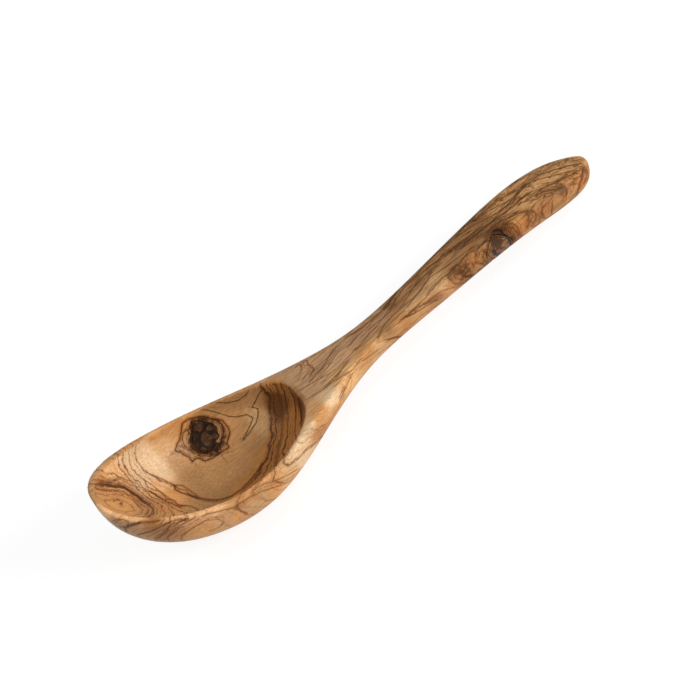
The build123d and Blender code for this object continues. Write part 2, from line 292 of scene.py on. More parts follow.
# Grain: growth layers traced in the view, each one a level of a field that fills the whole blank.
grain = {
    "smoothing": 0.6,
    "core": 0.5,  # millimetres round a traced place in which its pull on the field stays even
    "margin": 4,  # millimetres of growth from the outer lines of a row to its ends
    "leastClimb": 0.15,
    "far": 30.0,  # half widths at which a mark counts as out of reach
    "reach": (6.0, 9.0),  # half widths from a mark between which its darkness fades
    # edges of a growth line and of its stain: half widths where each starts and ends, and its depth there
    "sharpEdge": (0.55, 1.2, 1.0, 0.0),
    "softEdge": (0.8, 4.0, 0.6, 0.0),
    # noises that shake the lines: scale, detail, roughness
    "wander": (220.0, 3.0, 0.55),
    "jag": (900.0, 2.0, 0.6),
    # level of each layer, in millimetres of growth, and its pixels
    "layers": [
        (-12, [(205, 437)]),
        (-9, [(185, 437), (222, 432), (205, 460), (208, 415)]),
        (-6, [(165, 450), (190, 478), (235, 465), (245, 425), (235, 405), (180, 425), (150, 437)]),
        (0, [
            (132, 442), (135, 455), (140.5, 468), (151, 475), (164.5, 481), (174.5, 485.5), (187, 490),
            (198, 499), (215, 501), (232, 497.5), (245, 489.5), (259.5, 473), (269.5, 453), (272, 435),
            (272, 416), (270, 397), (264.5, 382),
        ]),
        (2.4, [
            (126, 446), (129, 457), (136, 473), (148, 487), (165.5, 498.5), (178, 505), (195, 508.5),
            (215, 507),
        ]),
        (1.8, [(274.5, 408.5), (275.5, 426), (273, 450), (262, 474)]),
        (4.6, [
            (117.5, 451), (123.5, 465), (133.5, 479.5), (146.5, 490.5), (160, 498.5), (173, 507),
            (186.5, 512),
        ]),
        (6.2, [(114, 452.5), (121, 468.5), (126.5, 476), (139, 487), (148, 493.5)]),
        (8.6, [(106.5, 478), (119, 478.5), (126.5, 481.5), (142, 489.5), (158, 503), (164, 511)]),
        (8, [(108, 462), (104, 467)]),
        (11.4, [
            (93.5, 483), (102, 481.5), (113.5, 481), (122, 483.5), (130, 488.5), (140, 496), (149, 503),
            (156, 508), (156, 512.5), (151, 516),
        ]),
        (13, [
            (92.5, 486), (102, 488.5), (113.5, 490), (122, 489.5), (130, 494), (142, 503), (150, 509),
            (149, 513),
        ]),
        (15.4, [(96, 492.5), (109, 494.5), (120, 494.5), (132, 500), (142, 508), (141, 513)]),
        (18, [(106, 500), (116, 499), (127, 503), (134, 510)]),
        (20, [(120, 504.5)]),
        (7, [(280, 383.5), (285, 400), (287.5, 415), (287, 434.5), (282, 453), (272, 471.5)]),
        (4.5, [(273, 382), (280, 402), (281, 425), (277, 448)]),
        (11, [(289, 389), (294.5, 399), (296, 412), (294.5, 434.5), (287.5, 453)]),
        (14, [(299, 403), (301, 414), (300.5, 425)]),
        (11.8, [(125.5, 527), (133, 523.5), (143, 522), (152, 521), (159, 519.5)]),
        (8.6, [(138, 535), (151, 531.5), (164.5, 524), (170, 521)]),
        (5.6, [(158, 536), (168, 528), (180, 521.5), (187, 518)]),
        (3.2, [(168, 537), (182, 527), (198, 519.5), (205, 515.5)]),
        (1, [(184, 534.5), (195, 527), (210, 519), (221, 515.5), (224, 519), (221, 525)]),
        (-1.5, [(196, 534), (206, 527)]),
        (3, [(218, 511), (232, 507), (240, 509), (244, 513)]),
        (6, [(244, 503), (258, 487.5), (266.5, 484), (271, 477)]),
        (10, [(275, 477), (292, 469.5), (300.5, 463), (309.5, 453), (319.5, 440)]),
        (14.5, [(289, 457), (300.5, 443.5), (309.5, 435.5)]),
        (18, [(304, 430.5), (318, 429.5), (325, 424.5), (333.5, 414.5), (343.5, 394.5)]),
        (16, [(101, 510), (112, 518)]),
        (0, [(262, 380), (274, 371.5), (290, 364)]),
        (5, [(275, 380), (290, 371), (305, 359), (322, 350)]),
        (11.5, [(294.5, 389), (305, 381.5), (322, 367), (334, 354), (341, 345)]),
        (15, [(301.5, 404), (316, 393), (333.5, 378), (350, 361)]),
        (17.5, [(304, 412), (316.5, 402), (332, 389.5), (345, 374.5)]),
        (11, [(362, 323), (378.5, 313.5), (391, 297.5), (397.5, 288.5)]),
        (14, [
            (360, 342), (377.5, 326), (391.5, 306), (403.5, 288.5), (420, 274), (446.5, 253),
            (463.5, 241), (478, 229),
        ]),
        (17, [(372, 342), (388, 325), (403.5, 311), (416.5, 295), (430, 278), (453.5, 261), (472, 247)]),
        (20, [(388, 331), (404, 318), (423, 300), (440, 281), (450, 272)]),
        (17.5, [(386.5, 339.5), (396.5, 337.5)]),
        (16, [(350, 376), (370, 362), (380, 353)]),
        (18.5, [(406.5, 317.5), (418.5, 311), (430, 304), (437, 300)]),
        (8, [(492, 199), (515, 181), (535, 169), (560, 159.5), (575, 157.5)]),
        (14, [(497, 214.5), (508.5, 203.5), (525.5, 186.5), (540, 174.5), (565.5, 166.5), (577, 164)]),
        (18, [(520, 200), (531.5, 192), (554.5, 183.5), (570, 175)]),
        (21, [(531.5, 202), (540, 196), (551.5, 192), (560, 190)]),
        (20, [(500, 222), (511.5, 217), (525.5, 210.5)]),
        (25, [(553, 192), (552, 205), (551, 214)]),
        (26, [(565, 187), (566, 196)]),
        (24, [(582, 170), (583, 176.5), (578, 190)]),
        (22, [(586, 171), (586, 180)]),
        (24, [(500, 243)]),
        (22, [(512, 239)]),
        (21, [(520, 235)]),
        (22, [(490, 238)]),
        (21, [(505, 226)]),
    ],
    # fine dark cracks in the pale middle of the bowl
    "cracks": [
        [
            (196, 406), (207, 410), (215, 412), (229, 416.5), (236, 417), (247, 414.5), (253, 418),
            (249, 428), (243.5, 438),
        ],
        [
            (243.5, 440), (250, 432), (256, 423), (258, 416), (258, 408.5), (252, 407.5), (256, 400),
            (259, 394), (262, 390), (260.5, 382),
        ],
        [(208, 400.5), (218, 402.5), (227, 403), (238, 400.5), (246, 395), (251, 386)],
        [(174.5, 485.5), (176, 489.5), (181, 492), (189, 494.5), (196, 498)],
    ],
    # half width in millimetres, darkness and pixels of the lines round the knots and along the stem
    "strokes": [
        (0.42, 0.85, [
            (182.5, 423), (181, 431), (180, 439), (177, 445), (175, 451), (181, 452), (186, 456),
            (189, 457), (192.5, 462), (195, 459), (198, 458), (205, 461), (211, 459), (220, 453.5),
            (225, 450), (229.5, 447), (226.5, 443.5), (228.5, 438), (230, 432), (228, 427), (222, 420),
            (211, 418.5), (203, 416), (197, 417), (188, 419), (182.5, 423),
        ]),
        (0.3, 0.5, [(171, 455), (174, 453)]),
        (0.6, 0.7, [(487, 239), (490, 236), (494, 235)]),
        (0.35, 0.5, [(466, 255), (470, 249), (477, 245)]),
        (0.5, 0.6, [(484, 252), (488, 255), (486, 259)]),
        (0.7, 0.6, [(452, 269), (457, 265), (462, 267), (466, 264)]),
        (0.5, 0.6, [(456, 274), (461, 273), (466, 269)]),
        (0.9, 0.85, [(466, 276.5), (471, 276)]),
        (0.4, 0.7, [(524, 201), (531, 197), (537, 194.5), (545, 191.5), (555, 189.5), (563, 188)]),
        (0.8, 0.6, [(562, 186), (566, 189), (567, 194)]),
        (0.6, 0.65, [(584, 168), (582, 176), (579.5, 184), (578, 191), (576.5, 196)]),
        (0.4, 0.5, [(582, 164), (587, 171), (588.5, 178), (586.5, 185)]),
        (0.35, 0.5, [(572, 176), (574, 184), (572, 192)]),
        (0.4, 0.7, [(389, 340), (395, 337), (402, 336), (408, 334)]),
        (0.35, 0.55, [(413, 311), (420, 306), (428, 303), (437, 299)]),
        (0.35, 0.55, [(404, 318), (411, 315), (416, 311)]),
        (0.35, 0.55, [(340, 396), (343, 389), (348, 382), (351, 377)]),
        (0.35, 0.6, [(341, 398), (344, 392), (347, 386)]),
        (0.35, 0.5, [(364, 360), (371, 355), (378, 350)]),
        (0.3, 0.6, [(303, 362), (307, 360), (308, 365), (312, 366), (314, 370), (310, 376)]),
        (0.3, 0.55, [(296, 367), (299, 364), (302, 367), (301, 371)]),
        (0.3, 0.5, [(310, 381), (316, 374), (322, 368), (327, 360), (332, 352), (336, 347)]),
        (0.3, 0.5, [(313, 383), (320, 376), (327, 368), (333, 359), (338, 352)]),
        (0.3, 0.5, [(303, 379), (309, 371), (312, 366)]),
        (0.3, 0.55, [(320, 392), (327, 385), (335, 377), (341, 370), (347, 362)]),
        (0.3, 0.55, [(325, 389), (333, 381), (341, 372)]),
        (0.35, 0.7, [(346, 338), (351, 334), (356, 332)]),
        (0.35, 0.6, [(346, 334), (350, 331)]),
        (0.3, 0.5, [(350, 345), (356, 338), (362, 332), (370, 325)]),
        (0.3, 0.5, [(356, 350), (362, 343), (369, 334), (377, 326)]),
        (1, 0.55, [(103, 482.5), (112, 483.5), (120, 485), (127, 488.5), (134, 493.5), (141, 499)]),
        (0.35, 0.6, [(108, 486), (116, 487.5), (123, 488.5)]),
        (0.3, 0.5, [(97, 489), (107, 491), (118, 491.5), (127, 495), (135, 501), (139, 507)]),
        (0.35, 0.65, [(114, 501), (118, 499.5), (122, 502), (121, 505)]),
        (0.3, 0.4, [(96, 496), (104, 501), (110, 506)]),
        (0.4, 0.65, [
            (441.5, 246.5), (466.5, 225), (486.5, 210), (506.5, 195), (526.5, 181), (543.5, 173.5),
            (566.5, 166.5), (581.5, 163.5),
        ]),
        (0.4, 0.65, [(493, 215), (513, 201.5), (520, 191.5), (531.5, 181), (550, 176.5), (576.5, 170)]),
        (0.35, 0.55, [(506.5, 186.5), (526.5, 175), (550, 163.5), (573.5, 158.5)]),
        (0.45, 0.75, [
            (450, 251.5), (470, 238.5), (490, 223.5), (506.5, 211.5), (516.5, 203.5), (526.5, 193.5),
        ]),
        (0.35, 0.55, [
            (433, 265), (450, 253), (470, 243), (486.5, 231.5), (500, 221.5), (513.5, 215.5),
            (526.5, 210.5),
        ]),
        (0.4, 0.7, [(403, 286.5), (416.5, 275), (428.5, 261.5), (441.5, 245)]),
        (0.35, 0.6, [(410, 291.5), (425, 275), (438.5, 265)]),
        (0.3, 0.5, [(546.5, 166.5), (566.5, 161.5), (580, 160)]),
        (0.6, 0.7, [(514, 197), (521, 188.5), (528, 183)]),
        (0.3, 0.5, [(460, 223), (480, 207), (500, 191)]),
        (0.3, 0.5, [(476, 236), (496, 219), (510, 206)]),
        (0.3, 0.45, [(540, 184), (552, 182), (565, 178), (575, 173)]),
        (0.3, 0.45, [(395, 306), (405, 296), (416, 284), (428, 272)]),
        (0.35, 0.55, [(383, 309), (391, 299), (398, 289), (405, 280)]),
        (0.3, 0.45, [(372, 322), (382, 313), (392, 303)]),
        (0.4, 0.8, [
            (195.5, 419.5), (190.5, 421.5), (191, 426.5), (194, 432.5), (191.5, 436.5), (190.5, 441),
            (192.5, 445), (196.5, 449.5), (202, 452.5), (206.5, 453.5), (212, 451.5), (215.5, 448),
            (217.5, 443.5),
        ]),
        (0.35, 0.75, [
            (189, 429.5), (185, 431), (182.5, 435), (182.5, 440), (184, 444.5), (186.5, 447),
            (190.5, 450), (195.5, 453), (200.5, 454.5),
        ]),
        (0.5, 0.85, [
            (214, 419.5), (218.5, 421.5), (221.5, 424.5), (223, 429.5), (223.5, 435), (222.5, 439.5),
            (220, 444.5), (217.5, 447.5),
        ]),
        (1.1, 1, [(215.5, 449), (217.5, 451.5)]),
        (0.3, 0.6, [(212, 421.5), (214, 426.5), (215, 432.5), (214, 438), (212, 443.5), (209, 448)]),
        (0.35, 0.8, [(192.5, 442.5), (196.5, 447.5), (200.5, 450), (205.5, 451), (210.5, 448.5)]),
        (0.3, 0.7, [(195, 451), (200.5, 453.5), (205.5, 455.5), (210.5, 454.5), (214, 452.5)]),
        (0.45, 1, [(203.5, 422), (204.5, 426), (202.5, 431.5), (199, 434.5), (194, 433)]),
        (0.4, 1, [(191.5, 421.5), (192.5, 426.5), (193.5, 430)]),
        (0.45, 1, [(203.5, 422.5), (207.5, 423.5)]),
        (0.4, 1, [(199, 436.5), (198.5, 441.5), (200, 445)]),
        (0.4, 1, [(211.5, 431.5), (212, 434)]),
        (0.45, 1, [(193.5, 440), (195.5, 440)]),
        (0.35, 0.7, [(195.5, 418.5), (200, 418), (203.5, 418.5), (209, 418.5), (214, 420)]),
        (0.6, 0.55, [(180.5, 446), (185, 448), (190, 451), (193.5, 453.5)]),
        (0.3, 0.7, [(485, 236.5), (489, 233.5), (493.5, 231)]),
        (0.75, 1, [
            (493.5, 231), (496, 229.5), (500, 230), (504, 233.5), (507.5, 237.5), (510, 241.5),
            (511.5, 246),
        ]),
        (0.4, 0.7, [
            (505, 225), (509, 223.5), (513.5, 224), (516.5, 226.5), (519, 231.5), (521.5, 237.5),
        ]),
        (0.35, 0.6, [(505, 227.5), (510, 227), (514, 229), (517.5, 234), (519, 239)]),
        (0.35, 0.6, [(501.5, 227.5), (506.5, 230), (511, 232.5), (514, 236.5), (516, 241)]),
        (0.9, 0.5, [(510, 234), (511.5, 237.5), (513.5, 241)]),
        (0.3, 0.6, [(494, 232.5), (499, 233.5), (503.5, 236), (506, 239)]),
        (0.8, 0.6, [(496.5, 241), (501.5, 240), (506.5, 239.5)]),
        (0.6, 0.6, [(496, 243.5), (496.5, 247.5), (501, 249), (504, 247.5)]),
        (1.2, 1, [(493.5, 251.5), (496, 254), (498, 255)]),
        (0.4, 0.55, [(491.5, 238.5), (488.5, 241.5), (487.5, 246.5), (490, 251.5)]),
        (0.5, 0.45, [(485, 251.5), (482.5, 256.5), (485, 261.5), (481, 264), (476.5, 262.5)]),
        (0.4, 0.5, [(475, 251.5), (476.5, 255), (475, 258.5)]),
        (0.5, 0.45, [(462.5, 258.5), (467.5, 255), (471, 251.5), (475, 250), (479, 246.5)]),
        (0.4, 0.45, [(460, 263.5), (465, 261.5), (470, 258.5)]),
        (1, 0.55, [(527.5, 213.5), (529, 218.5), (529, 223.5), (527.5, 227.5)]),
        (0.55, 0.55, [(526.5, 212.5), (531.5, 210), (535, 212.5), (536.5, 216.5), (535, 221.5)]),
        (0.75, 0.5, [(541, 214), (540, 219), (538.5, 223.5)]),
        (0.35, 0.5, [(531.5, 216.5), (531.5, 221.5), (533.5, 225)]),
        (0.3, 0.4, [(552.5, 205), (551.5, 214)]),
        (0.45, 0.4, [(542.5, 206.5), (541.5, 211.5), (543.5, 216.5)]),
        (0.38, 0.6, [
            (152, 475), (158, 477.5), (168, 482), (174, 485), (175, 490), (180, 492.5), (187, 495),
            (194, 497.5),
        ]),
        (0.35, 0.6, [(174, 485), (182, 485.5), (188, 489), (193, 493), (199, 497)]),
        (0.5, 0.75, [
            (194, 497), (202, 498.5), (211, 500), (220, 500), (231, 496.5), (243, 488), (253, 477.5),
            (262, 464),
        ]),
        (0.4, 0.7, [(150, 491), (161, 498), (172, 503.5), (180, 507.5)]),
        (0.35, 0.55, [(144, 479), (152, 485), (161, 492), (170, 499), (177, 504), (186, 506)]),
        (0.35, 0.45, [(93, 480), (102, 481), (112, 480), (120, 477.5), (130, 481), (138, 487)]),
        (0.4, 0.5, [(112, 521.5), (116, 519.5), (124, 519.5), (128, 522)]),
        (0.7, 0.55, [(120, 527), (128, 526.5), (134, 524.5), (142, 523), (150, 522), (158, 520.5)]),
        (0.35, 0.6, [
            (139, 534), (146, 532.5), (154, 530.5), (161, 526), (167, 523), (174, 520), (182, 518.5),
        ]),
        (0.55, 0.6, [(158, 539), (162, 535), (168, 531), (168, 527), (172, 524), (180, 522), (186, 519)]),
        (0.4, 0.5, [(164, 540), (171, 535), (176, 528), (182, 525), (188, 521), (195, 518)]),
        (0.3, 0.45, [
            (180, 536), (192, 528), (204, 521), (218, 519), (223.5, 522), (220, 527), (210, 531),
        ]),
        (0.4, 0.5, [(208, 514), (220, 511), (232, 508), (240, 510), (246, 514)]),
        (0.4, 0.5, [(232, 508), (248, 498), (260, 492), (272, 488), (288, 482), (296, 476)]),
        (0.4, 0.45, [(254, 490), (264, 484), (280, 479), (296, 470), (310, 462)]),
        (0.3, 0.5, [
            (300, 390), (315, 381), (327, 375), (337.5, 368), (345, 360), (351, 354), (355.5, 348),
        ]),
        (0.3, 0.5, [(307.5, 399), (322.5, 390), (334.5, 381), (345, 375), (354, 369), (360, 360)]),
        (0.45, 0.7, [
            (348, 336.5), (360, 329), (372, 319.5), (381, 312), (388.5, 304.5), (393, 297), (398, 289.5),
        ]),
        (0.35, 0.55, [(369, 330), (379.5, 321), (388.5, 313.5), (393, 306), (396, 298.5)]),
        (0.35, 0.5, [
            (378, 337.5), (384, 325.5), (393, 315), (402, 307.5), (411, 300), (420, 291), (428, 279),
            (432, 270),
        ]),
        (0.35, 0.45, [(399, 309), (408, 297), (414, 286.5), (419, 277.5)]),
        (0.35, 0.55, [(501.5, 181.5), (521.5, 171.5), (544.5, 163.5), (567.5, 158.5)]),
        (0.45, 0.65, [(481.5, 208), (501.5, 198), (515, 191.5), (528, 186.5)]),
        (0.4, 0.65, [(468.5, 224.5), (488.5, 211), (508, 201), (531, 194.5), (551, 184.5), (567.5, 175)]),
        (0.35, 0.6, [(455, 237.5), (475, 224.5), (495, 214.5), (515, 204.5), (534.5, 199.5)]),
        (0.35, 0.55, [(442, 254), (462, 241), (481.5, 227.5), (501.5, 218), (518, 211)]),
        (0.35, 0.5, [(429, 267.5), (448.5, 251), (468.5, 241), (485, 232.5)]),
        (0.35, 0.5, [(554.5, 165), (567.5, 165), (581, 168), (582.5, 173)]),
        (0.4, 0.5, [(561, 194.5), (574.5, 181.5), (584.5, 171.5)]),
        (0.4, 0.5, [(569.5, 199.5), (579.5, 188), (586, 178)]),
        (0.35, 0.5, [(412, 310), (429, 300.5), (442, 290.5), (455, 287)]),
        (0.35, 0.5, [(429, 290.5), (442, 277.5), (455, 270.5), (468.5, 264)]),
        (0.6, 0.55, [(448.5, 277.5), (455, 284), (468.5, 280.5), (475, 275.5)]),
    ],
    # brown crescents between the rings of the bowl's knot
    "crescents": [
        (0.85, 1, [(186.5, 432.5), (185, 436.5), (185, 441), (186.5, 444.5)]),
        (0.95, 1, [(215, 422.5), (218.5, 426), (220.5, 431.5), (220.5, 436.5), (218.5, 441)]),
        (0.6, 1, [(203.5, 457.5), (207.5, 457.5)]),
        (0.6, 1, [(186.5, 450), (190.5, 453.5), (195.5, 455.5)]),
        (0.5, 1, [(209, 420), (212, 421)]),
    ],
}
tones = {
    "apart": 12.0,  # millimetres that count between the hollow and the rest of the surface
    "blur": 6.0,  # square millimetres round a place within which its tone hardly fades
    "fall": 2.5,  # how fast it gives way to the next further out
    "gold": (0.79, 0.47, 0.205),
    "pale": (0.90, 0.66, 0.40),
    "clay": (0.54, 0.31, 0.145),
    "russet": (0.48, 0.235, 0.085),
    "cream": (0.8, 0.575, 0.35),
    "blush": (0.8, 0.48, 0.24),
    "honey": (0.62, 0.315, 0.118),
    "sand": (0.68, 0.42, 0.2),
    "tan": (0.48, 0.262, 0.108),
    "khaki": (0.42, 0.23, 0.095),
    "amber": (0.56, 0.26, 0.075),
    "umber": (0.24, 0.1, 0.026),
    "ash": (0.6, 0.37, 0.205),
    "drab": (0.42, 0.225, 0.092),
    # where each tone lies: 1 in the hollow, 0 on the rest of the surface
    "places": {
        ("cream", 1): [(150, 460), (160, 470), (143, 455), (145, 480)],
        ("cream", 0): [(305, 455), (300, 440), (312, 428), (330, 400)],
        ("sand", 1): [(163, 448), (260, 422)],
        ("sand", 0): [(290, 478), (378, 350), (415, 309), (419, 301), (437, 283), (573, 195)],
        ("clay", 1): [(178, 461)],
        # clay round the tip's outline and on its outer wall under the rim: brown wood with painted shade of
        # the tip's outside
        ("clay", 0): [
            (103, 516), (93, 504), (116, 524), (92, 470), (88, 484), (132, 527), (225, 520), (262, 500),
            (248, 506), (437, 297),
        ],
        ("khaki", 1): [(192, 476), (200, 487), (235, 393), (215, 405), (250, 392), (225, 492)],
        ("khaki", 0): [(490, 245)],
        ("tan", 1): [(215, 480), (240, 465), (250, 440), (235, 425), (195, 505), (147, 505)],
        # tan at (92, 496) and (115, 522) is partly painted shade of the tip's outside too
        ("tan", 0): [(108, 455), (92, 496), (115, 522), (392, 330), (485, 250), (538, 215), (560, 200)],
        ("honey", 1): [
            (155, 432), (178, 425), (172, 496), (100, 478), (165, 507), (115, 508), (127, 500),
        ],
        ("honey", 0): [
            (205, 530), (240, 515), (275, 488), (245, 498), (318, 430), (240, 387), (180, 417),
            (130, 441), (322, 410), (335, 415), (320, 420), (370, 352), (400, 325), (470, 262),
            (465, 272), (525, 225), (588, 178), (575, 180),
        ],
        ("pale", 1): [(127, 455)],
        ("blush", 1): [(155, 487), (107, 466), (120, 475)],
        # blush along the near rim's crest: pale wood with a painted highlight of the rounded lip
        ("blush", 0): [
            (109, 511), (126, 516), (140, 518), (180, 516), (210, 510), (160, 516), (447, 289),
        ],
        ("amber", 1): [
            (228, 499.5), (241, 491), (253, 483), (279, 440), (291, 420), (268, 460), (284, 455),
            (275, 385),
        ],
        ("umber", 1): [(281, 408), (276, 400), (298, 398)],
        ("umber", 0): [(500, 238), (497, 250)],
        ("russet", 0): [(150, 528), (175, 532), (545, 205)],
        # ash and drab on the top of neck and handle: grey-brown wood, partly painted shade of the top face
        ("ash", 0): [(312, 385), (340, 360), (285, 375), (265, 377), (360, 335), (380, 320)],
        ("gold", 0): [(345, 375), (520, 190), (530, 198), (540, 175), (560, 168), (500, 205), (577, 162)],
        ("drab", 0): [(395, 300), (415, 280), (455, 245), (430, 265), (455, 262), (455, 270), (480, 225)],
    },
}


def growthField(points, normals):
    # Smooth growth level at each point, through every traced layer, and how fast it climbs along the surface.
    anchors = np.array([onSpoon(spot) for level, line in grain["layers"] for spot in line])
    levels = np.array([level for level, line in grain["layers"] for spot in line], float)
    count = len(anchors)
    terms = count + 4  # the anchors' own, and those of the plane that the levels follow on the whole
    gaps = np.linalg.norm(anchors[:, None] - anchors[None], axis=2)
    system = np.zeros((terms, terms))
    system[:count, :count] = gaps - grain["smoothing"] * np.eye(count)
    system[:count, count] = system[count, :count] = 1
    system[:count, count + 1:] = anchors
    system[count + 1:, :count] = anchors.T
    weights = np.linalg.solve(system, np.concatenate([levels, np.zeros(terms - count)]))
    growth = weights[count] + points @ weights[count + 1:]
    slope = np.tile(weights[count + 1:], (len(points), 1))
    for anchor, weight in zip(anchors, weights[:count]):
        away = points - anchor
        gap = np.linalg.norm(away, axis=1)
        growth += weight * gap
        slope += weight * away / np.maximum(gap, grain["core"])[:, None]
    slope -= np.sum(slope * normals, axis=1)[:, None] * normals
    return growth, np.linalg.norm(slope, axis=1)


def rowField(growth, steep, lines):
    # Place of each point in a row of growth lines, 1 at the first, and millimetres between the lines there.
    levels = [line[0] for line in lines]
    levels = np.array([levels[0] - grain["margin"]] + levels + [levels[-1] + grain["margin"]])
    above = np.clip(np.searchsorted(levels, growth), 1, len(levels) - 1)
    gap = (levels[above] - levels[above - 1]) / np.maximum(steep, grain["leastClimb"])
    return np.interp(growth, levels, np.arange(len(levels))), gap


def smoothShare(values, start, end):
    # 0 before start, 1 after end, eased between.
    share = np.clip((values - start) / (end - start), 0, 1)
    return share * share * (3 - 2 * share)


def markField(points, normals, marks):
    # Signed distance to the nearest mark, with its half width as 1, and how dark it is there: none far off.
    nearest = np.full(len(points), grain["far"])
    darkness = np.zeros(len(points))
    for half, dark, line in marks:
        line = np.array(line, float)
        for start, end in zip(line[:-1], line[1:]):
            length = np.linalg.norm(end - start)
            along = (end - start) / length
            share = np.clip((points - start) @ along, 0, length)
            away = points - start - share[:, None] * along
            side = np.sign(np.sum(np.cross(along, away) * normals, axis=1))
            distance = np.linalg.norm(away, axis=1) * side / half
            closer = np.abs(distance) < np.abs(nearest)
            nearest = np.where(closer, distance, nearest)
            darkness = np.where(closer, dark, darkness)
    return nearest, darkness * (1 - smoothShare(np.abs(nearest), *grain["reach"]))


def storeMarks(piece, name, points, normals, marks):
    # Keeps the distance and the darkness of marks on a piece.
    distance, darkness = markField(points, normals, marks)
    storeField(piece, name, distance)
    storeField(piece, name + "Dark", darkness)


def knotDistance(points, centre, axis):
    # Distance from a knot's axis, in millimetres.
    away = points - np.array(centre)
    line = np.array(axis) / np.linalg.norm(axis)
    return np.linalg.norm(away - (away @ line)[:, None] * line, axis=1)


# Hollow: its place in the carving in millimetres, to tell the inside of the bowl from the outside.
hollowPlace = {
    "middle": (60.0, 0.0, 2.0),  # a point over the floor that all of the hollow's surface faces
    "tipRise": 18.4,
    "lowRim": 78.0,  # where the rim is lowest
    "lift": 0.24,  # climb of the rim behind it, and the length over which it sets in
    "liftBlend": 24.0,
    "end": 116.0,
    "facing": (0.0, 0.35),  # from side on to facing the middle
    "below": (0.1, 0.9),  # depth under the rim
}


def hollowShare(points, normals):
    # 1 on the surface of the hollow, 0 on the rest.
    low = hollowPlace["lowRim"]
    blend = hollowPlace["liftBlend"]
    towards = np.array(hollowPlace["middle"]) - points
    facing = np.sum(normals * towards, axis=1) / np.linalg.norm(towards, axis=1)
    rim = hollowPlace["tipRise"] * np.clip((low - points[:, 0]) / low, 0, 1) ** 2
    climb = hollowPlace["lift"] * (np.hypot(points[:, 0] - low, blend) - blend)
    rim += np.where(points[:, 0] > low, climb, 0)
    inside = smoothShare(facing, *hollowPlace["facing"])
    inside = inside * smoothShare(rim - points[:, 2], *hollowPlace["below"])
    return inside * (points[:, 0] < hollowPlace["end"])


def toneField(points, inside):
    # Ground colour at each point, blended from the tones that lie near it, with the painted highlight and
    # shade that some tones carry.
    total = np.zeros((len(points), 3))
    weight = np.zeros(len(points))
    for (tone, hollow), spots in tones["places"].items():
        for spot in spots:
            gap = np.sum((points - onSpoon(spot)) ** 2, axis=1) + (tones["apart"] * (inside - hollow)) ** 2
            share = 1 / (gap + tones["blur"]) ** tones["fall"]
            total += share[:, None] * np.array(tones[tone])
            weight += share
    return total / weight[:, None]


# Bowl knot: grey-brown islands of dead wood parted by black fissures, with brown crescents round them.
knot = {
    "grid": 0.0003,  # remesh spacing, metres
    "softening": 2,  # smoothing passes
    "place": ((66.0, 29.0, -14.5), (0, 0.707, -0.707)),  # centre and axis in the carving
    # pixel of the middle and radius in millimetres of each island
    "islands": [
        ((197.5, 427), 3.1), ((209.5, 428), 2), ((206, 439.5), 3.7), ((194.5, 440), 1.5),
        ((215, 436.5), 2), ((203, 449.5), 1.8),
    ],
    "island": (0.088, 0.047, 0.021, 1),
    "islandShade": (0.044, 0.021, 0.009, 1),
    "between": (0.034, 0.015, 0.006, 1),
    "gold": (0.42, 0.22, 0.085, 1),
    "brown": (0.098, 0.046, 0.018, 1),
    "ragged": (420.0, 4.0, 0.65),  # noise: scale, detail, roughness
    "ringShake": 3.4,  # millimetres
    "dead": (7.2, 8.2),  # millimetres from the axis where the dead wood ends
    "stained": (9.8, 12.2, 1.0, 0.0),  # the same for the stained wood, and its share
    "isle": (0.8, 1.0, 1.0, 0.0),  # the same for an island, in shares of its radius
    "isleShake": 2.2,
    # lines: the level that they follow, how far from it they are full and then gone, and their depth
    "seam": (7.7, 0.2, 0.6, 0.7),
    "fissure": (1.13, 0.08, 0.24),
    "crescent": (0.5, 1.3, 0.85),  # traced, so it follows no level
    "crescentShake": 2.8,
    # levels of the noises between which one colour turns to the other
    "haloTurn": (0.40, 0.53),
    "deadTurn": (0.42, 0.58),
    "blackTurn": (0.47, 0.40),
    "topTurn": (0.35, 0.65),
    "roughness": 0.68,
    "gloss": 0.08,
    "jagHeight": 0.5,
    "bump": (0.6, 0.0004),  # strength and metres
}

# Handle knot: marbled red-brown and gold wood.
handleKnot = {
    "grid": 0.00035,
    "softening": 2,
    "place": ((236.0, -13.0, 25.0), (0, 1, 0)),
    "patch": (0.078, 0.030, 0.012, 1),
    "gold": (0.30, 0.145, 0.052, 1),
    "marble": (170.0, 5.0, 0.62),
    "marbleTurn": (0.44, 0.56),
    "vein": (0.5, 0.004, 0.022, 0.75),
    "edgeShake": 14.0,
    "edge": (5.5, 9.0, 1.0, 0.0),  # millimetres from the axis where the marbled wood ends
    "roughness": 0.42,
    "gloss": 0.25,
}

